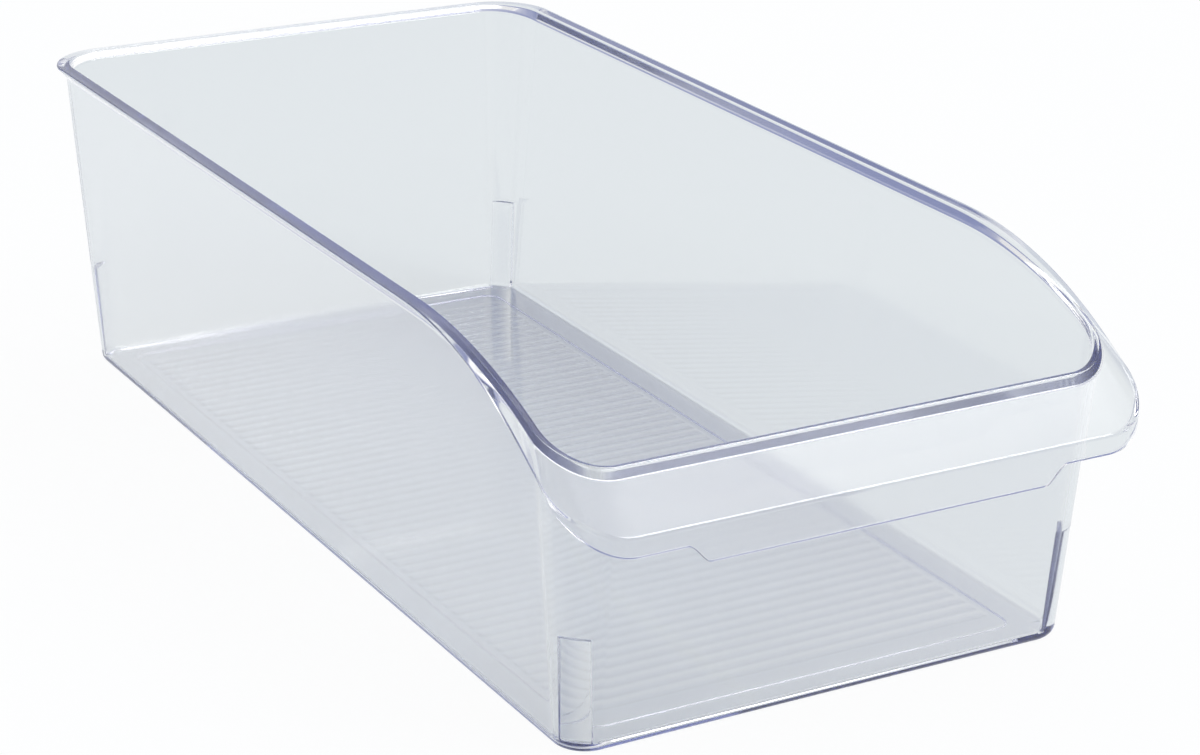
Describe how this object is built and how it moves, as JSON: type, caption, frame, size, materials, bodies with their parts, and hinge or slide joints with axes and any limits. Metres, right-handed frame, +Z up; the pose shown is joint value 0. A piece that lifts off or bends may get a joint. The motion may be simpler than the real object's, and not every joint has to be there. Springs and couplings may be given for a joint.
{
  "type": "refrigerator bin",
  "caption": "Clear open-top moulded bin for a refrigerator shelf, with drafted walls and a rim that slopes down to a front pull lip.",
  "frame": {"origin": "centre of the foot, on the surface that the bin stands on", "axes": "+Z up, +Y along the bin's length towards its back, the pull at -Y, +X to the right of someone facing the pull"},
  "size_m": [0.2046, 0.4146, 0.118],
  "materials": {
    "clear_plastic": "clear polystyrene, glossy from a polished mould, faintly blue through its edges"
  },
  "bodies": {
    "root": {"bin": "clear_plastic"}
  },
  "joints": []
}
